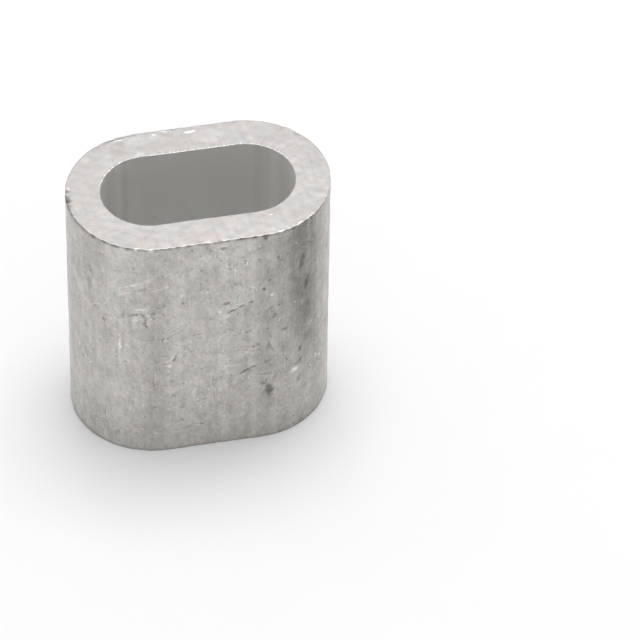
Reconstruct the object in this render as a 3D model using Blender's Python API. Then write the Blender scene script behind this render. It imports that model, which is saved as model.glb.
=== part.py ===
"""Oval crimp ferrule for a wire rope loop, modelled in Blender.

The real part is one length of extruded aluminium tube with an oval section,
sawn off square at both ends. Two runs of the same rope lie side by side in
the oval bore, and a press then squeezes the wall onto them. Nothing on it
moves and nothing is fastened to it, so it is a single solid.

Metres, +Z up. The bore runs along Z and the long side of the oval along X.
The origin is on the bore's axis, in the plane of the lower sawn end, which
the ferrule stands on.
"""

import bpy

# Driving dimensions, for a ferrule that takes 10 mm rope.
BORE_WIDTH = 0.0111  # one rope diameter and its clearance, along Y
BORE_LENGTH = 0.0221  # two ropes side by side, along X
WALL = 0.00395  # the same all round the oval
HEIGHT = 0.0324  # from one sawn end to the other
RIM_BREAK = 0.00015  # the saw's sharp edge, rubbed down at 45 degrees

# Sizes that follow from them.
OUTER_WIDTH = BORE_WIDTH + 2 * WALL
OUTER_LENGTH = BORE_LENGTH + 2 * WALL

# A Bezier handle this share of the radius long draws a quarter circle.
QUARTER_HANDLE = 0.5523
# Straight runs and quarter circles are each cut into this many chords.
CHORDS = 24

ALUMINIUM_COLOUR = (0.62, 0.60, 0.58, 1.0)
ALUMINIUM_ROUGHNESS = 0.45


def clear_scene():
    for obj in list(bpy.data.objects):
        bpy.data.objects.remove(obj, do_unlink=True)


def make_collection(name):
    collection = bpy.data.collections.new(name)
    bpy.context.scene.collection.children.link(collection)
    return collection


def aluminium():
    material = bpy.data.materials.new("extruded_aluminium")
    material.use_nodes = True
    shader = material.node_tree.nodes["Principled BSDF"]
    shader.inputs["Base Color"].default_value = ALUMINIUM_COLOUR
    shader.inputs["Metallic"].default_value = 1.0
    shader.inputs["Roughness"].default_value = ALUMINIUM_ROUGHNESS
    return material


def add_oval(curve, length, width):
    """Adds one closed oval: two straight sides joined by half circles, anticlockwise."""
    radius = width / 2
    centre = length / 2 - radius
    handle = radius * QUARTER_HANDLE
    third = 2 * centre / 3
    # Each point's place, and how far its handles reach back and on along the outline.
    points = [
        ((centre, -radius), (centre - third, -radius), (centre + handle, -radius)),
        ((centre + radius, 0), (centre + radius, -handle), (centre + radius, handle)),
        ((centre, radius), (centre + handle, radius), (centre - third, radius)),
        ((-centre, radius), (third - centre, radius), (-centre - handle, radius)),
        ((-centre - radius, 0), (-centre - radius, handle), (-centre - radius, -handle)),
        ((-centre, -radius), (-centre - handle, -radius), (third - centre, -radius)),
    ]
    spline = curve.splines.new("BEZIER")
    spline.bezier_points.add(len(points) - 1)
    spline.use_cyclic_u = True
    for point, (place, back, on) in zip(spline.bezier_points, points):
        point.handle_left_type = "FREE"
        point.handle_right_type = "FREE"
        point.co = (*place, 0)
        point.handle_left = (*back, 0)
        point.handle_right = (*on, 0)


def make_ferrule(collection, material):
    """The tube: the outer oval with the bore's oval as its hole, drawn out to the full height."""
    section = bpy.data.curves.new("ferrule_body", "CURVE")
    section.dimensions = "2D"
    section.fill_mode = "BOTH"
    section.resolution_u = CHORDS
    section.extrude = HEIGHT / 2 - RIM_BREAK
    section.bevel_depth = RIM_BREAK
    section.bevel_resolution = 0
    section.offset = -RIM_BREAK
    add_oval(section, OUTER_LENGTH, OUTER_WIDTH)
    add_oval(section, BORE_LENGTH, BORE_WIDTH)
    section.materials.append(material)
    ferrule = bpy.data.objects.new("ferrule_body", section)
    ferrule.location = (0, 0, HEIGHT / 2)
    collection.objects.link(ferrule)
    return ferrule


def main():
    clear_scene()
    collection = make_collection("oval_crimp_ferrule")
    make_ferrule(collection, aluminium())


main()
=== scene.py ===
"""Looks for an oval crimp ferrule, the short aluminium sleeve that closes the loop of a wire rope.

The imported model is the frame: one node, "ferrule_body", which the finished ferrule stands for. Lengths in
the making are millimetres, because marks on a ferrule are that small, and the finished mesh is in metres.
"Along" is the way round the outside of the oval, 0 at the middle of the front flat and growing to the
right. "Up" is the height over the floor.
"""

import math
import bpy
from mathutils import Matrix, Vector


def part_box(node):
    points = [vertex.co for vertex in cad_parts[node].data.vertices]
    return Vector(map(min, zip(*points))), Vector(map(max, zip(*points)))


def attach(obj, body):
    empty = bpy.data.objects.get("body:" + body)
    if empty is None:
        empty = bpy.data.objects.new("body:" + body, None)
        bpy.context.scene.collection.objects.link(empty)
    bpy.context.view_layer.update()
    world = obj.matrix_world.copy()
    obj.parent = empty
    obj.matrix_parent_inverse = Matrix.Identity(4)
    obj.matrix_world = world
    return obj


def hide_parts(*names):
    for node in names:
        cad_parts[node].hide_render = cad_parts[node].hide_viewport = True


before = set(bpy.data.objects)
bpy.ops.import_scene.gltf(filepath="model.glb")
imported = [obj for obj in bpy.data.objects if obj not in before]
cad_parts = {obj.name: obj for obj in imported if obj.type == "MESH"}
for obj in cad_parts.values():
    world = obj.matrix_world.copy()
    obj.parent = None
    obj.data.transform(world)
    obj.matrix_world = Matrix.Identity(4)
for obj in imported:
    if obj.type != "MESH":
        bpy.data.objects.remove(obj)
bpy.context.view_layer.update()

from types import SimpleNamespace

import bpy
import numpy as np
from bpy.props import FloatProperty, FloatVectorProperty, IntProperty, PointerProperty, StringProperty
from mathutils import Matrix, Vector

bl_info = {
    "name": "Oval Crimp Ferrule",
    "version": (1, 0, 0),
    "blender": (4, 5, 0),
    "location": "3D View > Sidebar > Ferrule",
    "description": "Makes a sawn-off aluminium wire rope ferrule, with its handling marks, on a pale stage",
    "category": "Add Mesh",
}

MM = 0.001
# The oval stands on the floor with its middle over the origin, so one corner of its box gives its sizes
HALF_LENGTH, OUTER_RADIUS, HEIGHT = (float(place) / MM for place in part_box("ferrule_body")[1])
HALF_FLAT = HALF_LENGTH - OUTER_RADIUS
HALF_ROUND = OUTER_RADIUS * math.pi  # the length of one rounded end, on the outside
GIRTH = 2 * HALF_ROUND + 4 * HALF_FLAT


# ---------------------------------------------------------------------------------------------------------
# Settings
# ---------------------------------------------------------------------------------------------------------


class FerruleSizes(bpy.types.PropertyGroup):
    """What a user would change on the ferrule."""

    wall: FloatProperty(
        name="Wall", description="Thickness of the tube's wall", default=3.95 * MM, unit="LENGTH"
    )
    rim_round: FloatProperty(
        name="Rim round", description="Radius left on the sawn edges", default=0.07 * MM, unit="LENGTH"
    )
    burr: FloatProperty(
        name="Burr", description="How far the saw's burr stands out", default=0.055 * MM, unit="LENGTH"
    )
    saw_ridge: FloatProperty(
        name="Saw ridge", description="Height of the saw's ridges", default=0.010 * MM, unit="LENGTH"
    )
    die_line: FloatProperty(
        name="Die line", description="Depth of the lines that the die leaves", default=0.009 * MM,
        unit="LENGTH",
    )
    dents: IntProperty(name="Dents", description="How many small dents the wall has", default=70, min=0)
    wall_dark: StringProperty(
        name="Wall, dull", description="Mill finish where it is stained, sRGB hex", default="8A8884"
    )
    wall_light: StringProperty(
        name="Wall, clean", description="Mill finish where it is clean, sRGB hex", default="F0EEEB"
    )
    end_dark: StringProperty(
        name="Sawn end, dull", description="Sawn aluminium in the grooves, sRGB hex", default="B8B5B3"
    )
    end_light: StringProperty(
        name="Sawn end, clean", description="Sawn aluminium on the ridges, sRGB hex", default="E0DDDB"
    )
    bore_dark: StringProperty(
        name="Bore, dull", description="Extruded bore in the die lines, sRGB hex", default="E4E3E0"
    )
    bore_light: StringProperty(
        name="Bore, clean", description="Extruded bore between the die lines, sRGB hex", default="FBFAF8"
    )
    # Bright metal, and the colour of painted glints on chips, burrs, beads and the bore's lip
    burnished: StringProperty(
        name="Burnished", description="Smeared bright metal on chips and burrs, sRGB hex", default="FAF8F6"
    )
    # Darker colour in knocks, the crack and the pit, and painted shade: shadow under the burr and contact
    # shade at the foot
    shade_and_dark_colour: StringProperty(
        name="Shade and dark", description="Darker in knocks, painted shade under the burr and at the foot, sRGB hex", default="767475"
    )


class FerruleStage(bpy.types.PropertyGroup):
    """Floor, light and camera."""

    floor_colour: StringProperty(name="Floor", description="Paper of the floor, sRGB hex", default="F9F9FA")
    sky: FloatProperty(name="Tent light", description="Strength of the white tent", default=0.685, min=0.0)
    key_power: FloatProperty(
        name="Key light", description="Power of the softbox", default=1.40, unit="POWER"
    )
    key_size: FloatProperty(
        name="Key size", description="Side of the softbox", default=0.30, unit="LENGTH"
    )
    distance: FloatProperty(
        name="Distance", description="From the camera to its aim", default=0.6245, unit="LENGTH"
    )
    azimuth: FloatProperty(
        name="Azimuth", description="Of the camera, from the front", default=math.radians(-12.31),
        subtype="ANGLE",
    )
    elevation: FloatProperty(
        name="Elevation", description="Of the camera", default=math.radians(45.21), subtype="ANGLE"
    )
    roll: FloatProperty(
        name="Roll", description="Of the camera", default=math.radians(1.018), subtype="ANGLE"
    )
    lens: FloatProperty(name="Lens", description="Focal length in millimetres", default=297.4, min=1.0)
    aim: FloatVectorProperty(
        name="Aim", description="Point on the floor that the camera looks at",
        default=(0.0160, 0.0078, 0.0), unit="LENGTH",
    )


# ---------------------------------------------------------------------------------------------------------
# Shape
# ---------------------------------------------------------------------------------------------------------

STATIONS_FLAT = 29  # in half of one flat side
STATIONS_ROUND = 157  # in one rounded end
WALL_ROWS = 104
END_ROWS = 14
BORE_ROWS = 40
RIM_STEPS = (0.0, 0.10, 0.24, 0.42, 0.66)  # rows that crowd at a sawn edge, from the end of its round


def smooth(edge_low, edge_high, value):
    """0 below edge_low and 1 above edge_high, with an S between."""
    share = np.clip((value - edge_low) / (edge_high - edge_low), 0, 1)
    return share * share * (3 - 2 * share)


def ripple(rng, places, shortest, longest, count=28):
    """A smooth uneven field over places (N by 2, mm), of about unit size, from waves of those lengths."""
    total = np.zeros(places.shape[:-1])
    for _ in range(count):
        length = math.exp(rng.uniform(math.log(shortest), math.log(longest)))
        turn = rng.uniform(0, 2 * math.pi)
        phase = rng.uniform(0, 2 * math.pi)
        across = places[..., 0] * math.cos(turn) + places[..., 1] * math.sin(turn)
        total += np.sin(across * 2 * math.pi / length + phase)
    return total * math.sqrt(2 / count)


def ripple_round(rng, along, girth, shortest, longest, count=28):
    """The same along one line that closes on itself after girth, so its waves do too."""
    total = np.zeros(along.shape)
    for _ in range(count):
        length = math.exp(rng.uniform(math.log(shortest), math.log(longest)))
        turns = max(1, round(girth / length))
        total += np.sin(along * 2 * math.pi * turns / girth + rng.uniform(0, 2 * math.pi))
    return total * math.sqrt(2 / count)


def stations():
    """The way round the oval: centre's x and the outward angle at each station, and how far along it is."""
    half = np.linspace(0, 1, STATIONS_FLAT, endpoint=False)
    turn = np.linspace(0, 1, STATIONS_ROUND, endpoint=False)
    flat = np.linspace(-1, 1, 2 * STATIONS_FLAT, endpoint=False)
    centre = np.concatenate([
        -HALF_FLAT * half, np.full(STATIONS_ROUND, -HALF_FLAT), HALF_FLAT * flat,
        np.full(STATIONS_ROUND, HALF_FLAT), HALF_FLAT * (1 - half),
    ])
    angle = np.concatenate([
        np.full(STATIONS_FLAT, 0.5), 0.5 + turn, np.full(2 * STATIONS_FLAT, 1.5),
        1.5 + turn, np.full(STATIONS_FLAT, 2.5),
    ]) * math.pi
    moved = np.abs(np.diff(centre, prepend=0.0))
    straight = np.cumsum(moved)
    turned = angle - angle[0]
    return centre, angle, straight, turned


def section(wall, rim_round):
    """Rows round the wall's section as (inset, height), and the surface that each row belongs to."""
    def rows(start, end, count):
        steps = np.array(RIM_STEPS)
        span = end - start
        way = math.copysign(1, span)
        inner = np.linspace(start + way * steps[-1], end - way * steps[-1], count + 2)[1:-1]
        return np.concatenate([start + way * steps, inner, end - way * steps[::-1]])

    corner = rim_round * (1 - math.sqrt(0.5))
    outer = rows(rim_round, HEIGHT - rim_round, WALL_ROWS)
    across = rows(rim_round, wall - rim_round, END_ROWS)
    bore = rows(HEIGHT - rim_round, rim_round, BORE_ROWS)
    pieces = [
        ("wall", np.zeros(len(outer)), outer),
        ("top rim", [corner], [HEIGHT - corner]),
        ("top", across, np.full(len(across), HEIGHT)),
        ("bore top rim", [wall - corner], [HEIGHT - corner]),
        ("bore", np.full(len(bore), wall), bore),
        ("bore foot rim", [wall - corner], [corner]),
        ("foot", across[::-1], np.zeros(len(across))),
        ("foot rim", [corner], [corner]),
    ]
    names = [name for name, insets, _ in pieces for _ in insets]
    return np.concatenate([p[1] for p in pieces]), np.concatenate([p[2] for p in pieces]), np.array(names)


def hump(distance, reach):
    """1 in the middle, and down to about a third at the reach on either side."""
    return np.exp(-((distance / reach) ** 2))


def between(start, end, along):
    """1 along a stretch and 0 off it. It fades in over the pair start and out over the pair end."""
    return smooth(*start, along) * (1 - smooth(*end, along))


# Places on the skin, all in mm. Where the saw came out of the top rim and left the most burr: along
SAW_EXIT_START, SAW_EXIT_END = (-13, -7), (15, 22)
# Where that burr is folded down over the wall, and where it has been pressed flat: along
FOLD_START, FOLD_END = (-24, -21), (13, 17)
PRESSED_START, PRESSED_END = (1.4, 3.0), (6.2, 7.4)
# Knocks on the top rim, the deepest at the left: along, half width, depth
RIM_KNOCKS = ((-20.6, 0.80, 0.24), (-22.2, 0.35, 0.13), (27.2, 0.3, 0.12))
# Specks of metal that the saw left standing on the rim, with painted glints on them: along, half width, and
# how full they are
RIM_BEADS = (
    (-7.1, 0.30, 1.0), (-8.8, 0.20, 0.8), (7.8, 0.26, 0.35), (10.3, 0.45, 0.45), (12.2, 0.35, 0.4),
)
# The torn sliver at the back left: along, half length, depth, breadth
SLIVER = (-33.3, 2.3, 0.12, 0.42)
# The chip on the bore's lip: along, half width
LIP_CHIP = (-35.0, 0.8)
# The deepest knock on the wall: along, up, half width, half height
PIT = (6.45, 7.5, 0.31, 0.50)

# How far the skin departs from a perfect tube, in mm
WAVE = 0.010  # in the long waves of the outside
BORE_LINE, BORE_WAVE = 0.006, 0.012
DENT_SIZES = (0.35, 1.3)  # half width of the smallest and the largest dent
DENT_DEPTHS = (0.010, 0.034)  # how deep they are, as a share of that
NICK_DEPTH = 0.05
GROOVE_DEPTH = 0.035  # under the folded burr
BEAD_OUT, BEAD_UP = 0.10, 0.07
LIP_HEIGHT = 0.07
PIT_DEPTH = 0.03
FOOT_BURR = 0.03
RIDGE_PITCH = 1.15  # from one of the saw's ridges to the next
OUT_OF_SQUARE = 0.012  # of the sawn ends
SKIN_DEPTH = 0.35  # over which a surface's relief dies away across a sawn end


def dent_field(rng, along, up, count):
    """Shallow dents from being tipped into a bin with others, each with a faint raised lip."""
    field = np.zeros(np.broadcast(along, up).shape)
    for _ in range(count):
        where = rng.uniform(-GIRTH / 2, GIRTH / 2), rng.uniform(1.0, HEIGHT - 1.0)
        size = rng.uniform(*DENT_SIZES)
        depth = size * rng.uniform(*DENT_DEPTHS)
        turn = rng.uniform(0, math.pi)
        longer = rng.uniform(1.0, 2.6)
        dx = (along - where[0] + GIRTH / 2) % GIRTH - GIRTH / 2
        dy = up - where[1]
        a = (dx * math.cos(turn) + dy * math.sin(turn)) / (size * longer)
        b = (dy * math.cos(turn) - dx * math.sin(turn)) / size
        r = np.hypot(a, b)
        field += depth * (0.35 * hump(r - 1.35, 0.35) - np.exp(-1.2 * r**2))
    return field


def ferrule_grid(sizes):
    """Where each point lies on a perfect tube: stations round the oval by rows round the wall's section."""
    wall, rim_round = sizes.wall / MM, sizes.rim_round / MM
    centre, angle, straight, turned = stations()
    inset, height, names = section(wall, rim_round)
    bore_girth = GIRTH - 2 * math.pi * wall
    along = (straight + turned * OUTER_RADIUS - GIRTH / 2)[:, None]
    along_bore = (straight + turned * (OUTER_RADIUS - wall) - bore_girth / 2)[:, None]
    return SimpleNamespace(
        wall=wall, rim_round=rim_round, bore_girth=bore_girth, names=names, centre=centre[:, None],
        outward_x=np.cos(angle)[:, None], outward_y=np.sin(angle)[:, None],
        along=along, along_bore=along_bore,
        inset=inset[None, :], height=height[None, :], below=(HEIGHT - height)[None, :],
        is_top=np.isin(names, ("top", "top rim", "bore top rim"))[None, :],
        is_foot=np.isin(names, ("foot", "foot rim", "bore foot rim"))[None, :],
        wall_map=np.stack(np.broadcast_arrays(along, height), axis=-1),
        bore_map=np.stack(np.broadcast_arrays(along_bore, height), axis=-1),
    )


def drawn_relief(rng, grid, sizes):
    """The die's lines, which run the whole height, the outside's waves and dents, and the bore's own."""
    lines = ripple_round(rng, grid.along, GIRTH, 1.2, 7.0)
    lines = lines + 0.35 * ripple_round(rng, grid.along, GIRTH, 0.5, 1.2)
    relief = sizes.die_line / MM * lines + WAVE * ripple(rng, grid.wall_map, 3.0, 16.0)
    relief = relief + dent_field(rng, grid.along, grid.height, sizes.dents)
    bore_relief = BORE_LINE * ripple_round(rng, grid.along_bore, grid.bore_girth, 1.5, 8.0)
    bore_relief = bore_relief + BORE_WAVE * ripple_round(rng, grid.along_bore, grid.bore_girth, 6.0, 20.0)
    near_outside = np.exp(-grid.inset / SKIN_DEPTH)
    near_bore = np.exp(-(grid.wall - grid.inset) / SKIN_DEPTH)
    return relief * near_outside + bore_relief * near_bore


def saw_burr(rng, along, burr):
    """What the saw left round the top rim: how far its burr stands out and up, and its nicks' depth."""
    wobble = ripple_round(rng, along, GIRTH, 0.5, 3.0)
    fine = ripple_round(rng, along, GIRTH, 0.35, 0.9)
    facing = between(SAW_EXIT_START, SAW_EXIT_END, along)
    facing = facing * (1 - 0.85 * between(PRESSED_START, PRESSED_END, along))
    out = burr * np.clip(0.30 + 0.45 * wobble + 0.15 * fine, 0, 1.3) * (0.25 + 0.75 * facing)
    rise = np.clip(0.15 + 0.45 * ripple_round(rng, along, GIRTH, 0.6, 4.0), 0, 1) * (0.2 + 0.6 * facing)
    nick = NICK_DEPTH * np.clip(ripple_round(rng, along, GIRTH, 0.5, 2.5) - 0.9, 0, 1.5)
    return out, burr * rise, nick


def sawn_rim(rng, grid, sizes):
    """The top rim with its burr, the groove where it is folded down, its nicks, knocks and bright beads.

    Gives how far the skin moves out and up, its painted glint, the beads, and how dark it is: darker colour
    in knocks and nicks, and painted shadow under the burr.
    """
    along, below = grid.along, grid.below
    stands_out, rise, nick = saw_burr(rng, along, sizes.burr / MM)
    from_rim = np.hypot(grid.inset, below)
    edge = hump(from_rim, 0.17)

    # The groove is broken here and there, weaker on the right, deeper where the burr is pressed flat, and
    # broadest at the left
    fold = between(FOLD_START, FOLD_END, along) * (1 - 0.35 * smooth(-9, -4, along))
    broken = np.clip(0.80 + 0.35 * ripple_round(rng, along, GIRTH, 0.8, 3.0), 0.15, 1.3)
    fold = (fold + 0.5 * between(PRESSED_START, PRESSED_END, along)) * broken
    breadth = 0.42 + 0.30 * (1 - smooth(-16, -9, along))
    # The groove's dark colour is painted shadow under the folded burr, over the rim and the wall just below
    # it
    groove = fold * (1 - smooth(0.12, breadth, below)) * (grid.inset < grid.rim_round)

    drop = nick * hump(from_rim, 0.25)
    for place, half, deep in RIM_KNOCKS:
        rough = 1 + 0.4 * ripple_round(rng, along, GIRTH, 0.7, 1.6)
        drop = drop + deep * rough * hump(along - place, half) * hump(from_rim, 0.40)
    beads = sum(full * hump(along - place, half) for place, half, full in RIM_BEADS)
    beads = beads * hump(from_rim, 0.30)

    out = stands_out * edge - GROOVE_DEPTH * groove - 0.6 * drop + BEAD_OUT * beads
    up = rise * edge - drop + BEAD_UP * beads
    return out, up, 1.2 * edge * stands_out, beads, drop / 0.40 + 0.75 * groove


def torn_sliver(rng, grid):
    """A sliver half torn from the rim: how far the skin moves up, the dull crack, and the raised edge with
    its painted highlight.
    """
    place, half, deep, broad = SLIVER
    torn = smooth(0, 1.1, half - np.abs(grid.along - place))
    torn = torn * (1 + 0.15 * ripple_round(rng, grid.along, GIRTH, 0.5, 1.6))
    crack = torn * hump(grid.inset - 0.5 * broad, 0.13) * grid.is_top
    # The sliver's raised edge is also painted bright, as a highlight
    raised = torn * hump(grid.inset - broad, 0.10) * grid.is_top
    return 0.3 * deep * raised - deep * crack, crack, raised


def bore_lip(rng, grid):
    """The burr on the mouth of the bore, strongest on the far side: how far out and up, and its painted
    highlight.
    """
    inner = hump(np.hypot(grid.wall - grid.inset, grid.below), 0.15)
    far_side = 0.04 + 0.96 * smooth(23, 28, np.abs(grid.along))
    uneven = ripple_round(rng, grid.along_bore, grid.bore_girth, 0.35, 1.4)
    place, half = LIP_CHIP
    chip = 1.3 * hump(grid.along - place, half)
    lip = LIP_HEIGHT * (np.clip(0.45 + 0.8 * uneven, 0.0, 1.6) * far_side + chip)
    spread = hump(grid.wall - grid.inset, 0.24 + 0.14 * chip) * hump(grid.below, 0.15)
    return -0.3 * inner * lip, inner * lip, spread * lip / 0.06


def deep_knock(rng, grid):
    """The deepest knock on the wall, from 1 at its bottom to 0, with an uneven edge."""
    place, up, half_width, half_height = PIT
    pit = hump(grid.along - place, half_width) * hump(grid.height - up, half_height) * (grid.inset == 0)
    return pit * (1 + 0.4 * ripple(rng, grid.wall_map, 0.7, 1.5))


def foot_rim(rng, grid):
    """The lower rim's low burr, and a painted dark line of contact shade along the foot."""
    burr = FOOT_BURR * np.clip(0.3 + 0.6 * ripple_round(rng, grid.along, GIRTH, 0.6, 4.0), 0, 1.5)
    foot_contact_shade = hump(grid.height, 0.25) * (grid.inset < grid.rim_round)
    return burr * hump(np.hypot(grid.inset, grid.height), 0.2), foot_contact_shade


def sawn_relief(rng, ground, sizes):
    """The saw's ridges, each the way that the blade went through, on ends that are not quite square."""
    ridge = np.sin(ground[..., 0] * 2 * math.pi / RIDGE_PITCH + 0.8 * ripple(rng, ground, 5, 14))
    ridge = ridge * (0.5 + 0.5 * ripple(rng, ground, 6, 16)) + 0.5 * ripple(rng, ground, 0.9, 2.5)
    return sizes.saw_ridge / MM * ridge + OUT_OF_SQUARE * ripple(rng, ground, 7, 22)


def ferrule_points(sizes):
    """Every point of the ferrule on a grid of stations by rows, in mm, with what the materials need."""
    rng = np.random.default_rng(8)
    grid = ferrule_grid(sizes)
    relief = drawn_relief(rng, grid, sizes)
    rim_out, rim_up, rim_glint, beads, rim_shade_and_dark = sawn_rim(rng, grid, sizes)
    torn_up, crack, raised = torn_sliver(rng, grid)
    lip_out, lip_up, lip_highlight = bore_lip(rng, grid)
    pit = deep_knock(rng, grid)
    foot_out, foot_contact_shade = foot_rim(rng, grid)

    radius = OUTER_RADIUS - grid.inset + relief + rim_out + lip_out + foot_out - PIT_DEPTH * pit
    ground = np.stack([grid.centre + radius * grid.outward_x, radius * grid.outward_y], axis=-1)
    saw = sawn_relief(rng, ground, sizes)
    tall = grid.height + rim_up + torn_up + lip_up
    tall = tall + np.where(grid.is_top, saw, 0) + np.where(grid.is_foot, np.abs(saw), 0)
    points = np.concatenate([ground, np.clip(tall, 0.0, None)[..., None]], axis=-1)

    # Painted highlights, partly bright metal: the glint on the burr and beads, the bore's lip and the
    # sliver's raised edge
    bright = np.clip(rim_glint + beads + lip_highlight + raised, 0, 1)
    # Darker colour in knocks, the crack and the pit, with painted shadow under the burr and painted contact
    # shade at the foot
    shade_and_dark_share = np.clip(rim_shade_and_dark + 0.9 * crack + 0.7 * pit + 0.45 * foot_contact_shade, 0, 1)
    shade_and_dark_share = shade_and_dark_share * (1 - raised) * (1 - np.clip(beads, 0, 1))
    maps = {"wall": grid.wall_map, "bore": grid.bore_map, "end": ground}
    return points, grid.names, bright, shade_and_dark_share, maps, (GIRTH, grid.bore_girth)


def ferrule_mesh(name, sizes):
    """The closed skin of the ferrule as one grid of quads, with a map in mm and two point attributes."""
    points, names, bright, shade_and_dark_mask, maps, girths = ferrule_points(sizes)
    around, rows = points.shape[:2]
    i, j = np.meshgrid(np.arange(around), np.arange(rows), indexing="ij")
    corners_i = np.stack([i, i + 1, i + 1, i], axis=-1).reshape(-1, 4)
    corners_j = np.stack([j, j, j + 1, j + 1], axis=-1).reshape(-1, 4)
    index = (corners_i % around) * rows + corners_j % rows

    mesh = bpy.data.meshes.new(name)
    mesh.vertices.add(around * rows)
    mesh.vertices.foreach_set("co", (points * MM).ravel())
    mesh.loops.add(index.size)
    mesh.loops.foreach_set("vertex_index", index.ravel())
    mesh.polygons.add(len(index))
    mesh.polygons.foreach_set("loop_start", np.arange(0, index.size, 4))
    mesh.update(calc_edges=True)

    # A face belongs to the surface of both its rows, and to the sawn end where a rim lies between
    first, second = names[corners_j[:, 0]], names[corners_j[:, 2] % rows]
    surface = np.where(
        (first == "wall") & (second == "wall"), 0, np.where((first == "bore") & (second == "bore"), 2, 1)
    )
    mesh.polygons.foreach_set("material_index", surface)
    mesh.polygons.foreach_set("use_smooth", np.ones(len(index), dtype=bool))

    wrapped = (corners_i == around)[..., None] * np.array([1.0, 0.0])
    places = [maps[kind][corners_i % around, corners_j % rows] for kind in ("wall", "end", "bore")]
    places[0] = places[0] + wrapped * girths[0]
    places[2] = places[2] + wrapped * girths[1]
    chosen = np.stack(places)[surface, np.arange(len(index))]
    layer = mesh.uv_layers.new(name="millimetres")
    layer.uv.foreach_set("vector", chosen.astype(np.float32).ravel())
    for label, values in (("burnished", bright), ("painted_shade_and_dark", shade_and_dark_mask)):
        attribute = mesh.attributes.new(label, "FLOAT", "POINT")
        attribute.data.foreach_set("value", values.astype(np.float32).ravel())
    mesh.validate()
    return mesh


# ---------------------------------------------------------------------------------------------------------
# Materials
# ---------------------------------------------------------------------------------------------------------


def linear(text):
    """A colour as a shader wants it, from sRGB hex."""
    channels = [int(text[i:i + 2], 16) / 255 for i in (0, 2, 4)]
    return [c / 12.92 if c <= 0.04045 else ((c + 0.055) / 1.055) ** 2.4 for c in channels] + [1.0]


def add(tree, kind, inputs=None, **settings):
    """A node of that kind with its settings. Each input is a value, a socket, or a node's first output."""
    node = tree.nodes.new("ShaderNode" + kind)
    for key, value in settings.items():
        setattr(node, key, value)
    for key, value in (inputs or {}).items():
        if isinstance(value, bpy.types.Node):
            value = value.outputs[0]
        if isinstance(value, bpy.types.NodeSocket):
            tree.links.new(value, node.inputs[key])
        else:
            node.inputs[key].default_value = value
    return node


def new_material(name):
    """An empty material and its tree, with a Principled shader on its output."""
    material = bpy.data.materials.new(name)
    material.use_nodes = True
    tree = material.node_tree
    tree.nodes.clear()
    shader = add(tree, "BsdfPrincipled")
    add(tree, "OutputMaterial", {"Surface": shader})
    return material, tree, shader


def shifted(tree, place, offset, stretch=(1.0, 1.0, 1.0), turn=0.0):
    """The map moved, turned and then squeezed, so that a pattern read from it is longer by the stretch."""
    return add(
        tree, "Mapping",
        {"Vector": place, "Location": offset, "Scale": stretch, "Rotation": (0.0, 0.0, turn)},
        vector_type="TEXTURE",
    )


def grain(tree, place, size, seed, detail=3.0, roughness=0.6, stretch=(1.0, 1.0, 1.0), turn=0.0):
    """Uneven tone, in patches of about size mm. The stretch makes patches longer one way."""
    where = shifted(tree, place, (seed * 7.3, seed * 31.1, 0.0), stretch, turn)
    return add(
        tree, "TexNoise", {"Vector": where, "Scale": 1 / size, "Detail": detail, "Roughness": roughness}
    )


def rolled(tree, place, girth):
    """The flat map rolled up to a tube of that girth, so that a pattern read from it has no seam."""
    parts = add(tree, "SeparateXYZ", {"Vector": place})
    angle = add(tree, "Math", {0: parts.outputs[0], 1: 2 * math.pi / girth}, operation="MULTIPLY")
    across = add(tree, "Math", {0: angle}, operation="COSINE")
    deep = add(tree, "Math", {0: angle}, operation="SINE")
    radius = girth / (2 * math.pi)
    across = add(tree, "Math", {0: across, 1: radius}, operation="MULTIPLY")
    deep = add(tree, "Math", {0: deep, 1: radius}, operation="MULTIPLY")
    return add(tree, "CombineXYZ", {0: across, 1: deep, 2: parts.outputs[1]})


def scored(tree, off, keep):
    """A scratch from the distance off its middle, -1 to 1 across: its depth, and the painted light and
    shade on its two flanks.
    """
    off = add(tree, "Clamp", {0: off, 1: -1.0, 2: 1.0})
    dip = add(tree, "Math", {0: off, 1: off}, operation="MULTIPLY")
    dip = add(tree, "Math", {0: 1.0, 1: dip}, operation="SUBTRACT")
    dip = add(tree, "Math", {0: dip, 1: dip}, operation="MULTIPLY")
    depth = add(tree, "Math", {0: dip, 1: keep}, operation="MULTIPLY")
    lit_and_shaded_flanks = add(tree, "Math", {0: depth, 1: off}, operation="MULTIPLY")
    return depth, add(tree, "Math", {0: lit_and_shaded_flanks, 1: 3.0}, operation="MULTIPLY")


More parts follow.
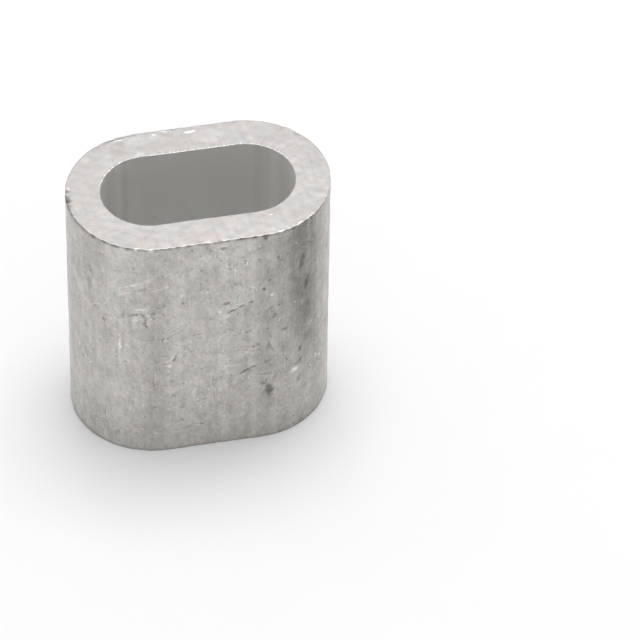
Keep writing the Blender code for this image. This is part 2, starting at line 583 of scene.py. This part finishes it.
def hair_scratches(tree, place, cell, length, width, bend, seed):
    """One short bent scratch in each cell of that size in mm, at its own slant: depth, tone and the painted
    light and shade on its flanks.
    """
    where = add(tree, "VectorMath", {0: place, 1: (seed * 5.7, seed * 2.9, 0.0)}, operation="ADD")
    where = add(tree, "VectorMath", {0: where, "Scale": 1 / cell}, operation="SCALE")
    cells = add(
        tree, "TexVoronoi", {"Vector": where, "Scale": 1.0, "Randomness": 0.9}, voronoi_dimensions="2D"
    )
    luck = add(tree, "SeparateColor", {"Color": cells.outputs["Color"]})
    local = add(tree, "VectorMath", {0: where, 1: cells.outputs["Position"]}, operation="SUBTRACT")
    angle = add(tree, "Math", {0: luck.outputs[0], 1: 2 * math.pi}, operation="MULTIPLY")
    local = add(tree, "VectorRotate", {"Vector": local, "Angle": angle}, rotation_type="Z_AXIS")
    parts = add(tree, "SeparateXYZ", {"Vector": local})
    squared = add(tree, "Math", {0: parts.outputs[0], 1: parts.outputs[0]}, operation="MULTIPLY")
    arch = add(tree, "MapRange", {0: luck.outputs[1], 3: -bend, 4: bend})
    off = add(tree, "Math", {0: squared, 1: arch, 2: parts.outputs[1]}, operation="MULTIPLY_ADD")
    off = add(tree, "Math", {0: off, 1: width / cell}, operation="DIVIDE")
    run = add(tree, "Math", {0: parts.outputs[0]}, operation="ABSOLUTE")
    own_length = add(tree, "MapRange", {0: luck.outputs[2], 3: 0.1 * length / cell, 4: 0.5 * length / cell})
    short = add(tree, "Math", {0: run, 1: own_length}, operation="DIVIDE")
    inside = add(tree, "MapRange", {0: short, 1: 1.0, 2: 0.6}, interpolation_type="SMOOTHSTEP")
    depth, lit_and_shaded_flanks = scored(tree, off, inside)
    # The number that sets the bend decides whether the scratch is burnished or dull
    light = add(tree, "MapRange", {0: luck.outputs[1], 1: 0.0, 2: 1.0, 3: -0.6, 4: 0.9})
    tone = add(tree, "Math", {0: depth, 1: light}, operation="MULTIPLY")
    return depth, tone, lit_and_shaded_flanks


def curled_scratches(tree, place, size, width, share, seed):
    """Worm-like scratches: level lines of an uneven field, of which a broken share is left."""
    field = grain(tree, place, size, seed, detail=1.5, roughness=0.45)
    off = add(tree, "Math", {0: field, 1: 0.5}, operation="SUBTRACT")
    off = add(tree, "Math", {0: off, 1: width}, operation="DIVIDE")
    pieces = grain(tree, place, size * 0.55, seed + 0.5, detail=1.0)
    keep = add(
        tree, "MapRange", {0: pieces, 1: 1 - share, 2: 1.07 - share}, interpolation_type="SMOOTHSTEP"
    )
    depth, lit_and_shaded_flanks = scored(tree, off, keep)
    luck = grain(tree, place, size, seed + 0.7)
    light = add(tree, "MapRange", {0: luck, 1: 0.35, 2: 0.65, 3: -0.5, 4: 0.8})
    tone = add(tree, "Math", {0: depth, 1: light}, operation="MULTIPLY")
    return depth, tone, lit_and_shaded_flanks


def specks(tree, place, cell, size, share, seed):
    """Round pits of about size mm in that share of the cells."""
    where = shifted(tree, place, (seed * 4.1, seed * 6.7, 0.0))
    cells = add(tree, "TexVoronoi", {"Vector": where, "Scale": 1 / cell}, voronoi_dimensions="2D")
    luck = add(tree, "SeparateColor", {"Color": cells.outputs["Color"]})
    dot = add(
        tree, "MapRange", {0: cells.outputs["Distance"], 1: size / cell, 2: 0.3 * size / cell},
        interpolation_type="SMOOTHSTEP",
    )
    chosen = add(tree, "Math", {0: luck.outputs[0], 1: share}, operation="LESS_THAN")
    return add(tree, "Math", {0: dot, 1: chosen}, operation="MULTIPLY")


def scar(tree, place, along, up, half_length, half_width, slant=0.0):
    """One mark of its own, an oval with soft ends, where the map says."""
    where = add(tree, "VectorMath", {0: place, 1: (along, up, 0.0)}, operation="SUBTRACT")
    angle = -math.radians(slant)
    where = add(tree, "VectorRotate", {"Vector": where, "Angle": angle}, rotation_type="Z_AXIS")
    where = add(
        tree, "VectorMath", {0: where, 1: (1 / half_length, 1 / half_width, 0.0)}, operation="MULTIPLY"
    )
    far = add(tree, "VectorMath", {0: where}, operation="LENGTH")
    return add(
        tree, "MapRange", {0: far.outputs["Value"], 1: 1.1, 2: 0.45}, interpolation_type="SMOOTHSTEP"
    )


def ragged(tree, place, size, reach, seed):
    """The map pushed about unevenly by up to about reach mm, so that a mark on it has a ragged outline."""
    push = grain(tree, place, size, seed, detail=2.0).outputs["Color"]
    push = add(tree, "VectorMath", {0: push, 1: (0.5, 0.5, 0.5)}, operation="SUBTRACT")
    push = add(tree, "VectorMath", {0: push, "Scale": 4 * reach}, operation="SCALE")
    return add(tree, "VectorMath", {0: place, 1: push}, operation="ADD")


def weigh(tree, terms, start=0.0):
    """start plus each socket times its weight."""
    total = start
    for socket, weight in terms:
        total = add(tree, "Math", {0: socket, 1: weight, 2: total}, operation="MULTIPLY_ADD")
    return total


# Marks that can be told apart on the front: along, up, half length, half width, slant, and tone, where
# minus is dark. The longest ones are upright bands.
SCARS = (
    (6.4, 7.6, 0.85, 0.70, 60, -0.40),
    (6.5, 7.35, 0.44, 0.28, 65, -1.10),
    (6.4, 8.15, 0.34, 0.20, 95, -0.35),
    (6.75, 6.75, 0.30, 0.15, 40, -0.45),
    (5.9, 8.9, 1.2, 0.55, -60, -0.30),
    (6.7, 6.0, 1.3, 0.55, -80, -0.26),
    (7.2, 9.9, 1.0, 0.4, 80, -0.2),
    (9.65, 9.5, 0.74, 0.52, 5, 0.72),
    (10.3, 10.5, 0.75, 0.24, 25, -0.50),
    (10.3, 7.7, 0.9, 0.4, 70, -0.30),
    (3.9, 11.4, 1.7, 0.18, 28, -0.55),
    (3.2, 10.6, 0.9, 0.14, 26, 0.25),
    (10.45, 12.5, 0.55, 0.36, 80, -0.50),
    (11.4, 22.6, 1.4, 0.50, 78, -0.60),
    (10.6, 26.4, 1.5, 0.50, 80, -0.60),
    (11.65, 19.0, 0.8, 0.35, 95, -0.32),
    (5.7, 23.9, 0.32, 0.30, 0, -0.45),
    (7.0, 19.5, 0.5, 0.32, 70, -0.34),
    (8.25, 16.8, 0.45, 0.34, 20, -0.34),
    (6.7, 22.8, 0.30, 0.26, 0, 0.70),
    (1.45, 22.5, 0.55, 0.26, 15, -0.75),
    (2.2, 21.25, 0.85, 0.17, 25, -0.55),
    (3.3, 21.8, 0.6, 0.15, 32, -0.50),
    (4.3, 22.25, 0.55, 0.18, 30, -0.60),
    (0.7, 21.4, 0.6, 0.17, 80, 0.40),
    (1.5, 20.4, 0.8, 0.16, 20, 0.32),
    (-9.1, 22.0, 0.8, 0.18, 28, -0.60),
    (-8.05, 22.0, 0.55, 0.18, -45, -0.60),
    (-7.9, 21.0, 0.6, 0.20, 72, -0.60),
    (-7.75, 20.3, 0.5, 0.20, -60, -0.60),
    (-8.3, 22.9, 1.0, 0.17, 8, 0.50),
    (-7.3, 21.8, 0.7, 0.16, -70, 0.42),
    (-8.8, 21.2, 0.8, 0.2, 20, 0.28),
    (-9.0, 26.7, 2.3, 0.14, 25, 0.34),
    (-10.3, 25.1, 1.5, 0.12, 27, 0.24),
    (-8.4, 26.0, 1.4, 0.14, 22, -0.22),
    (-10.85, 17.0, 1.9, 0.14, 88, 0.62),
    (-10.5, 16.9, 1.4, 0.14, 88, -0.28),
    (-11.7, 17.3, 1.0, 0.09, 62, 0.30),
    (-4.45, 15.0, 1.1, 0.15, 68, -0.50),
    (-4.75, 15.1, 1.0, 0.14, 68, 0.34),
    (-5.2, 13.7, 0.42, 0.34, 20, 0.42),
    (-3.6, 24.7, 0.50, 0.22, 50, 0.36),
    (3.95, 17.6, 0.7, 0.14, 30, -0.36),
    (-10.4, 21.8, 0.9, 0.36, 84, -0.36),
    (1.1, 31.2, 0.40, 0.34, 0, -0.55),
    (-0.9, 30.3, 1.0, 0.5, 10, 0.16),
    (-11.3, 2.2, 0.7, 0.4, 60, -0.34),
    (-3.0, 3.4, 0.7, 0.3, 20, -0.30),
    (-6.5, 12.0, 30.0, 0.9, 90, -0.08),
    (-12.0, 14.0, 9.0, 1.6, 90, -0.07),
    (1.0, 16.0, 40.0, 0.8, 90, 0.08),
    (3.7, 16.0, 40.0, 0.26, 90, -0.10),
    (5.8, 15.0, 30.0, 1.2, 90, -0.12),
    (11.0, 26.0, 6.5, 1.4, 90, 0.20),
    (7.0, 31.0, 2.6, 1.6, 0, -0.12),
    (5.9, 32.0, 0.5, 0.21, 70, -0.52),
    (7.2, 16.0, 24.0, 2.9, 90, -0.16),
)


def finish(tree, shader, tone, dark, light, layers, gloss, depth, depth_mm):
    """Joins a metal's patterns to its shader: colour between two hex values, gloss and relief.

    Each layer over the colour is how far it covers, and its own hex colour.
    """
    colour = add(tree, "Mix", {0: tone, 6: linear(dark), 7: linear(light)}, data_type="RGBA")
    for cover, hex_colour in layers:
        colour = add(tree, "Mix", {0: cover, 6: colour.outputs[2], 7: linear(hex_colour)}, data_type="RGBA")
    bump = add(tree, "Bump", {"Height": depth, "Distance": depth_mm * MM, "Strength": 1.0})
    tree.links.new(colour.outputs[2], shader.inputs["Base Color"])
    tree.links.new(gloss.outputs[0], shader.inputs["Roughness"])
    tree.links.new(bump.outputs[0], shader.inputs["Normal"])
    shader.inputs["Metallic"].default_value = 1.0
    return colour


def tint_patches(tree, shader, colour, patch, warm, cool):
    """Gives the colour a faint warm cast in some patches and a cool one in the others."""
    cast = add(tree, "MapRange", {0: patch, 1: 0.35, 2: 0.65})
    cast = add(tree, "Mix", {0: cast, 6: linear(warm), 7: linear(cool)}, data_type="RGBA")
    tinted = add(
        tree, "Mix", {0: 1.0, 6: colour.outputs[2], 7: cast.outputs[2]},
        data_type="RGBA", blend_type="MULTIPLY",
    )
    tree.links.new(tinted.outputs[2], shader.inputs["Base Color"])


def mill_finish_aluminium(sizes):
    """Aluminium as extruded and cooled: no polish, so it is an even satin grey with the die's lines in it.

    Handling in a bin with others leaves hair scratches, some burnished and some dull, over a mottled skin.
    """
    material, tree, shader = new_material("mill_finish_aluminium")
    place = add(tree, "UVMap", uv_map="millimetres")
    torn_place = ragged(tree, place, 0.45, 0.16, 9)
    tube = rolled(tree, place, GIRTH)
    # The die has drawn the fine grain out along the tube
    drawn = (1.0, 1.0, 1.5)
    cloud = grain(tree, tube, 4.5, 1, detail=3.0)
    mottle = grain(tree, tube, 1.2, 2, detail=4.0, roughness=0.62, stretch=(1.0, 1.0, 1.3))
    # The skin's own grain is near 0.05 mm. It is drawn three times coarser, or it would not show.
    skin = grain(tree, tube, 0.16, 3, detail=2.0, stretch=drawn)
    speckle = grain(tree, tube, 0.38, 10, detail=2.0, stretch=drawn)
    # Painted light and shade of low bumps under 1 mm, as if lit from above: the difference between the skin
    # and itself a little higher
    bumps = grain(tree, tube, 0.8, 12, detail=2.0, stretch=drawn)
    lifted = add(tree, "VectorMath", {0: tube, 1: (0.12, 0.05, 0.12)}, operation="ADD")
    lifted_bumps = grain(tree, lifted, 0.8, 12, detail=2.0, stretch=drawn)
    lit_bumps = weigh(tree, [(bumps, 1.0), (lifted_bumps, -1.0)])
    streak = grain(tree, tube, 0.8, 4, detail=2.0, stretch=(1.0, 1.0, 30.0))
    wide_streak = grain(tree, tube, 3.0, 5, detail=1.0, stretch=(1.0, 1.0, 30.0))
    scratches = [
        curled_scratches(tree, tube, 2.0, 0.040, 0.42, 21),
        curled_scratches(tree, tube, 1.1, 0.055, 0.40, 23),
        hair_scratches(tree, place, 2.6, 2.0, 0.14, 0.9, 1),
        hair_scratches(tree, place, 4.6, 3.4, 0.15, 0.7, 3),
    ]
    dark_specks = specks(tree, torn_place, 1.1, 0.20, 0.16, 5)
    light_specks = specks(tree, torn_place, 1.5, 0.18, 0.16, 6)
    # Scratches crowd where the ferrules rub, and leave other parts nearly clean
    rubbed = add(
        tree, "MapRange", {0: grain(tree, tube, 5.0, 7, detail=1.0), 1: 0.42, 2: 0.64, 3: 0.15, 4: 1.0}
    )
    # Scratch flanks are painted light on one side and shade on the other
    scored_tone = weigh(
        tree, [(tone, 0.8) for _, tone, _ in scratches] + [(lit_and_shaded_flanks, 0.7) for _, _, lit_and_shaded_flanks in scratches]
    )
    scored_tone = add(tree, "Math", {0: scored_tone, 1: rubbed}, operation="MULTIPLY")
    own = weigh(tree, [(scar(tree, torn_place, *mark[:5]), mark[5]) for mark in SCARS])
    patchy = add(tree, "MapRange", {0: speckle, 1: 0.34, 2: 0.60, 3: 0.45, 4: 1.35})
    own = add(tree, "Math", {0: own, 1: patchy}, operation="MULTIPLY")
    tone = weigh(
        tree,
        [
            (cloud, 0.32), (mottle, 0.48), (skin, 0.30), (speckle, 0.30), (lit_bumps, 0.50),
            (streak, 0.20), (wide_streak, 0.24), (scored_tone, 0.42), (dark_specks, -0.26),
            (light_specks, 0.26), (own, 0.72),
        ],
        start=0.5 - 0.915,
    )
    gloss = weigh(tree, [(mottle, -0.10), (scored_tone, -0.10)], start=0.55)
    depth = weigh(
        tree,
        [(mottle, 1.0), (skin, 0.35), (speckle, 0.7), (bumps, 1.2), (dark_specks, -0.5), (own, 0.5)]
        + [(deep, -0.6) for deep, _, _ in scratches],
    )
    # Bright metal with painted glints on the burr and the beads
    bright = add(tree, "Attribute", attribute_name="burnished").outputs["Fac"]
    # A layer of darker colour in knocks and the pit, and of painted shade under the burr and at the foot
    shade_and_dark_mask = add(tree, "Attribute", attribute_name="painted_shade_and_dark").outputs["Fac"]
    layers = [(shade_and_dark_mask, sizes.shade_and_dark_colour), (bright, sizes.burnished)]
    colour = finish(tree, shader, tone, sizes.wall_dark, sizes.wall_light, layers, gloss, depth, 0.035)
    # The oxide skin is faintly rosy in some patches and faintly green in others
    tint_patches(tree, shader, colour, grain(tree, tube, 1.6, 8, detail=2.0), "FEFAF8", "F9FBF9")
    return material


# Chips that stand up on the sawn end, painted bright as glints where they catch the light: x, y, half
# length, half width, slant
CHIPS = (
    (7.82, -8.95, 0.5, 0.14, 18), (10.14, -7.98, 0.40, 0.14, 42), (11.68, -6.85, 0.45, 0.15, 52),
    (0.71, 8.76, 0.75, 0.34, 5), (-2.18, 9.25, 0.35, 0.15, 0), (7.14, -6.25, 0.22, 0.20, 0),
    (4.5, -9.28, 0.3, 0.14, 5), (-7.45, 8.88, 2.0, 0.13, 12), (-6.3, 5.45, 0.75, 0.26, 8),
    (-3.4, 8.95, 0.3, 0.2, 0),
)


# Broad patches of lighter tone on the sawn end: x, y, half length, half width, slant
BRIGHT_PATCHES = ((-5.2, 8.2, 2.6, 1.1, 5), (2.4, 7.6, 2.2, 1.2, 0))


def sawn_aluminium(sizes):
    """Aluminium cut by a circular saw: bright clean metal, with fine ridges that each catch the light."""
    material, tree, shader = new_material("sawn_aluminium")
    place = add(tree, "UVMap", uv_map="millimetres")
    # A saw's finest ridges are about 0.05 mm apart. They are drawn at 0.25 mm, or they would not show.
    ridges = grain(tree, place, 0.25, 11, detail=2.0, stretch=(1.0, 14.0, 1.0), turn=math.radians(3))
    bands = grain(tree, place, 1.1, 12, detail=2.0, stretch=(1.0, 8.0, 1.0), turn=math.radians(8))
    cloud = grain(tree, place, 2.6, 13, detail=3.0)
    torn = grain(tree, place, 0.45, 14, detail=3.0, roughness=0.6)
    # The ridges stand out in patches, and are smeared flat between them
    sharp = grain(tree, place, 4.0, 17, detail=1.0)
    sharp = add(tree, "MapRange", {0: sharp, 1: 0.40, 2: 0.62, 3: 0.15, 4: 1.0})
    lines = weigh(tree, [(ridges, 0.36), (bands, 0.90)], start=-0.63)
    lines = add(tree, "Math", {0: lines, 1: sharp}, operation="MULTIPLY")
    # Its scratches come with painted light and shade on their flanks
    deep, _, lit_and_shaded_flanks = hair_scratches(tree, place, 2.2, 1.8, 0.09, 0.5, 15)
    pits = specks(tree, place, 1.0, 0.14, 0.32, 16)
    torn_place = ragged(tree, place, 0.4, 0.13, 18)
    chips = weigh(tree, [(scar(tree, torn_place, *chip), 1.0) for chip in CHIPS])
    up = add(tree, "SeparateXYZ", {"Vector": add(tree, "TexCoord").outputs["Object"]}).outputs[2]
    on_top = add(tree, "Math", {0: up, 1: HEIGHT / 2 * MM}, operation="GREATER_THAN")
    chips = add(tree, "Math", {0: chips, 1: on_top}, operation="MULTIPLY")
    patches = weigh(tree, [(scar(tree, torn_place, *patch), 1.0) for patch in BRIGHT_PATCHES])
    bright = add(tree, "Attribute", attribute_name="burnished").outputs["Fac"]
    # A layer of darker colour in knocks and the crack, and of painted shadow under the burr
    shade_and_dark_mask = add(tree, "Attribute", attribute_name="painted_shade_and_dark").outputs["Fac"]
    # The chips and the burnished attribute lift the tone as painted glints
    tone = weigh(
        tree,
        [
            (patches, 0.24), (lines, 1.0), (cloud, 0.50), (torn, 0.32), (lit_and_shaded_flanks, 0.15), (pits, -0.42),
            (chips, 0.9), (bright, 0.45),
        ],
        start=0.5 - 0.41,
    )
    gloss = weigh(tree, [(torn, 0.10), (bright, -0.10), (chips, -0.10)], start=0.47)
    depth = weigh(tree, [(lines, 1.6), (torn, 0.5), (pits, -0.5), (deep, -0.4), (chips, 2.0)])
    # Painted glints on burrs, beads, the lip, the sliver's edge and the chips, over bright metal
    glint = weigh(tree, [(bright, 0.9), (chips, 0.65)])
    layers = [(shade_and_dark_mask, sizes.shade_and_dark_colour), (glint, sizes.burnished)]
    colour = finish(tree, shader, tone, sizes.end_dark, sizes.end_light, layers, gloss, depth, 0.016)
    # Fresh metal is cool where it is bright and warm where the saw's heat has dulled it
    tint_patches(tree, shader, colour, grain(tree, place, 2.2, 19, detail=2.0), "FFFBF9", "F9FCFE")
    return material


# Soft upright bands on the bore's round ends: along the bore, half width, tone
BORE_BANDS = (
    (12.5, 5.5, 0.55), (18.4, 0.9, 0.30), (20.5, 0.7, -0.20),
    (-20.0, 0.6, 0.24), (-21.0, 0.4, -0.14), (-18.2, 0.5, -0.12),
)
# Dark specks on the bore's far side: along the bore, up, half length, half width, slant
BORE_MARKS = ((-24.4, 22.7, 0.35, 0.25, 0), (28.15, 21.8, 0.3, 0.22, 0))


def drawn_bore_aluminium(sizes):
    """Aluminium that ran over the die's mandrel: smoother than the outside, with soft upright lines."""
    material, tree, shader = new_material("drawn_bore_aluminium")
    place = add(tree, "UVMap", uv_map="millimetres")
    tube = rolled(tree, place, GIRTH - 2 * math.pi * sizes.wall / MM)
    cloud = grain(tree, tube, 4.0, 21, detail=2.0)
    fine = grain(tree, tube, 0.3, 22, detail=3.0)
    streak = grain(tree, tube, 0.7, 23, detail=3.0, stretch=(1.0, 1.0, 40.0))
    wide_streak = grain(tree, tube, 2.6, 24, detail=1.0, stretch=(1.0, 1.0, 40.0))
    marks = weigh(
        tree,
        [(specks(tree, place, 2.6, 0.16, 0.12, 25), 1.0)]
        + [(scar(tree, place, *mark), 1.0) for mark in BORE_MARKS],
    )
    bands = weigh(
        tree,
        [
            (scar(tree, place, along, HEIGHT / 2, 2 * HEIGHT, half_width, 90), tone)
            for along, half_width, tone in BORE_BANDS
        ],
    )
    tone = weigh(
        tree,
        [(cloud, 0.3), (fine, 0.16), (streak, 0.10), (wide_streak, 0.12), (marks, -0.6), (bands, 1.0)],
        start=0.5 - 0.29,
    )
    # The bore is darker towards its mouth, and lower down it takes a cool cast
    up = add(tree, "SeparateXYZ", {"Vector": place}).outputs[1]
    mouth = add(tree, "MapRange", {0: up, 1: 18.0, 2: HEIGHT, 3: 0.0, 4: -0.45})
    tone = add(tree, "Math", {0: tone, 1: mouth}, operation="ADD")
    cool = add(tree, "MapRange", {0: up, 1: 25.0, 2: 16.0, 3: 0.0, 4: 0.4})
    gloss = weigh(tree, [(fine, 0.08), (wide_streak, -0.10)], start=0.68)
    depth = weigh(tree, [(streak, 0.6), (fine, 0.4), (marks, -0.4)])
    # A layer of darker colour, and of painted shade near the rims
    shade_and_dark_mask = add(tree, "Attribute", attribute_name="painted_shade_and_dark").outputs["Fac"]
    layers = [(cool, "F0F2F4"), (shade_and_dark_mask, sizes.shade_and_dark_colour)]
    finish(tree, shader, tone, sizes.bore_dark, sizes.bore_light, layers, gloss, depth, 0.012)
    return material


# ---------------------------------------------------------------------------------------------------------
# Operators
# ---------------------------------------------------------------------------------------------------------


class OBJECT_OT_make_ferrule(bpy.types.Operator):
    """Makes the ferrule's finished skin and its three surfaces."""

    bl_idname = "object.make_ferrule"
    bl_label = "Make Ferrule"

    def execute(self, context):
        sizes = context.scene.ferrule_sizes
        mesh = ferrule_mesh("ferrule", sizes)
        for make in (mill_finish_aluminium, sawn_aluminium, drawn_bore_aluminium):
            mesh.materials.append(make(sizes))
        ferrule = bpy.data.objects.new("ferrule", mesh)
        context.scene.collection.objects.link(ferrule)
        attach(ferrule, "root")
        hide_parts("ferrule_body")
        return {"FINISHED"}


class OBJECT_OT_make_stage(bpy.types.Operator):
    """Lays the paper floor, and sets the tent's light, the softbox and the camera."""

    bl_idname = "object.make_stage"
    bl_label = "Make Stage"

    def execute(self, context):
        stage = context.scene.ferrule_stage
        lay_floor(context.scene, stage)
        light_tent(context.scene, stage)
        place_camera(context.scene, stage)
        return {"FINISHED"}


FLOOR_HALF = 3.0  # half of the floor's side, in metres
PAPER_SHADE = 0.985  # how bright the paper's darker fibres are, against the rest
PAPER_GLOSS = 0.9  # roughness of any of the stage's papers
# Painted shade of a neighbouring ferrule's face, lighter at the card's near edge and darker at its far edge
CARD_SHADE_NEAR, CARD_SHADE_FAR = "B4B2AE", "5E5C59"  # the card's near and far edges
# The middle of the softbox and the point on the ferrule's axis that it faces, in metres
KEY_PLACE, KEY_AIM = Vector((0.045, 0.085, 0.56)), Vector((0.0, 0.0, 0.015))
# A grey card of painted shade beside the right end, seen only in the metal's reflections: its near and far
# corners on the floor, and its height, in mm
CARD_NEAR, CARD_FAR, CARD_HEIGHT = (27.0, -32.0), (24.0, -7.5), 28.0


def lay_floor(scene, stage):
    """White paper under the ferrule, and a grey card of painted shade, seen only in reflections, that gives
    the rounded end its dark side.
    """
    paper, tree, shader = new_material("floor_paper")
    place = add(tree, "TexCoord")
    # Paper's own fibre is finer than this. It only keeps the floor from being quite flat.
    fibre = add(tree, "TexNoise", {"Vector": place.outputs["Object"], "Scale": 90.0, "Detail": 2.0})
    white = linear(stage.floor_colour)
    shade = [PAPER_SHADE * channel for channel in white[:3]] + [1.0]
    tint = add(tree, "Mix", {0: fibre, 6: white, 7: shade}, data_type="RGBA")
    tree.links.new(tint.outputs[2], shader.inputs["Base Color"])
    shader.inputs["Roughness"].default_value = PAPER_GLOSS
    mesh = bpy.data.meshes.new("floor")
    h = FLOOR_HALF
    mesh.from_pydata([(-h, -h, 0), (h, -h, 0), (h, h, 0), (-h, h, 0)], [], [(0, 1, 2, 3)])
    mesh.materials.append(paper)
    floor = bpy.data.objects.new("floor", mesh)
    scene.collection.objects.link(floor)

    reflected_shade_card, tree, shader = new_material("reflected_shade_card")
    place = add(tree, "TexCoord").outputs["UV"]
    share = add(tree, "SeparateXYZ", {"Vector": place})
    grey = add(
        tree, "Mix", {0: share.outputs[0], 6: linear(CARD_SHADE_NEAR), 7: linear(CARD_SHADE_FAR)}, data_type="RGBA"
    )
    tree.links.new(grey.outputs[2], shader.inputs["Base Color"])
    shader.inputs["Roughness"].default_value = PAPER_GLOSS
    card_mesh = bpy.data.meshes.new("card")
    corners = [(*CARD_NEAR, 0), (*CARD_FAR, 0), (*CARD_FAR, CARD_HEIGHT), (*CARD_NEAR, CARD_HEIGHT)]
    card_mesh.from_pydata([Vector(corner) * MM for corner in corners], [], [(0, 1, 2, 3)])
    card_mesh.uv_layers.new(name="across").uv.foreach_set("vector", (0, 0, 1, 0, 1, 1, 0, 1))
    card_mesh.materials.append(reflected_shade_card)
    card = bpy.data.objects.new("card", card_mesh)
    # Hidden from the camera, the floor's light and shadows: the card shows only as a painted dark
    # reflection in the metal
    card.visible_camera = False
    card.visible_diffuse = False
    card.visible_shadow = False
    scene.collection.objects.link(card)


def light_tent(scene, stage):
    """A white tent all round, and a softbox above and behind that casts a soft shadow to the front."""
    world = bpy.data.worlds.new("tent")
    world.use_nodes = True
    tree = world.node_tree
    tree.nodes.clear()
    glow = add(tree, "Background", {"Color": (1.0, 1.0, 1.0, 1.0), "Strength": stage.sky})
    add(tree, "OutputWorld", {"Surface": glow})
    scene.world = world
    scene.view_settings.view_transform = "Standard"

    softbox = bpy.data.lights.new("softbox", "AREA")
    softbox.shape = "SQUARE"
    softbox.size = stage.key_size
    softbox.energy = stage.key_power
    lamp = bpy.data.objects.new("softbox", softbox)
    lamp.location = KEY_PLACE
    lamp.rotation_mode = "QUATERNION"
    lamp.rotation_quaternion = (KEY_AIM - KEY_PLACE).to_track_quat("-Z", "Y")
    scene.collection.objects.link(lamp)


def place_camera(scene, stage):
    """A long lens from above and a little to the left of the front."""
    camera = bpy.data.objects.new("camera", bpy.data.cameras.new("camera"))
    camera.data.lens = stage.lens
    camera.data.clip_start = 0.01
    camera.data.clip_end = 20.0
    rise = math.cos(stage.elevation)
    side, front = math.sin(stage.azimuth) * rise, math.cos(stage.azimuth) * rise
    back = Vector((side, -front, math.sin(stage.elevation)))
    turn = (-back).to_track_quat("-Z", "Y").to_matrix().to_4x4()
    where = Vector(stage.aim) + back * stage.distance
    camera.matrix_world = Matrix.Translation(where) @ turn @ Matrix.Rotation(stage.roll, 4, "Z")
    scene.collection.objects.link(camera)
    scene.camera = camera


class VIEW3D_PT_ferrule(bpy.types.Panel):
    """Lists the ferrule's settings and operators."""

    bl_label = "Oval Crimp Ferrule"
    bl_idname = "VIEW3D_PT_ferrule"
    bl_space_type = "VIEW_3D"
    bl_region_type = "UI"
    bl_category = "Ferrule"

    def draw(self, context):
        for group, operator in (
            (context.scene.ferrule_sizes, OBJECT_OT_make_ferrule),
            (context.scene.ferrule_stage, OBJECT_OT_make_stage),
        ):
            column = self.layout.column()
            for name in group.__annotations__:
                column.prop(group, name)
            column.operator(operator.bl_idname)


CLASSES = (
    FerruleSizes, FerruleStage, OBJECT_OT_make_ferrule, OBJECT_OT_make_stage, VIEW3D_PT_ferrule,
)


def register():
    for cls in CLASSES:
        bpy.utils.register_class(cls)
    bpy.types.Scene.ferrule_sizes = PointerProperty(type=FerruleSizes)
    bpy.types.Scene.ferrule_stage = PointerProperty(type=FerruleStage)


def unregister():
    del bpy.types.Scene.ferrule_stage
    del bpy.types.Scene.ferrule_sizes
    for cls in reversed(CLASSES):
        bpy.utils.unregister_class(cls)


def main():
    register()
    bpy.ops.object.make_stage()
    bpy.ops.object.make_ferrule()


if __name__ == "__main__":
    main()
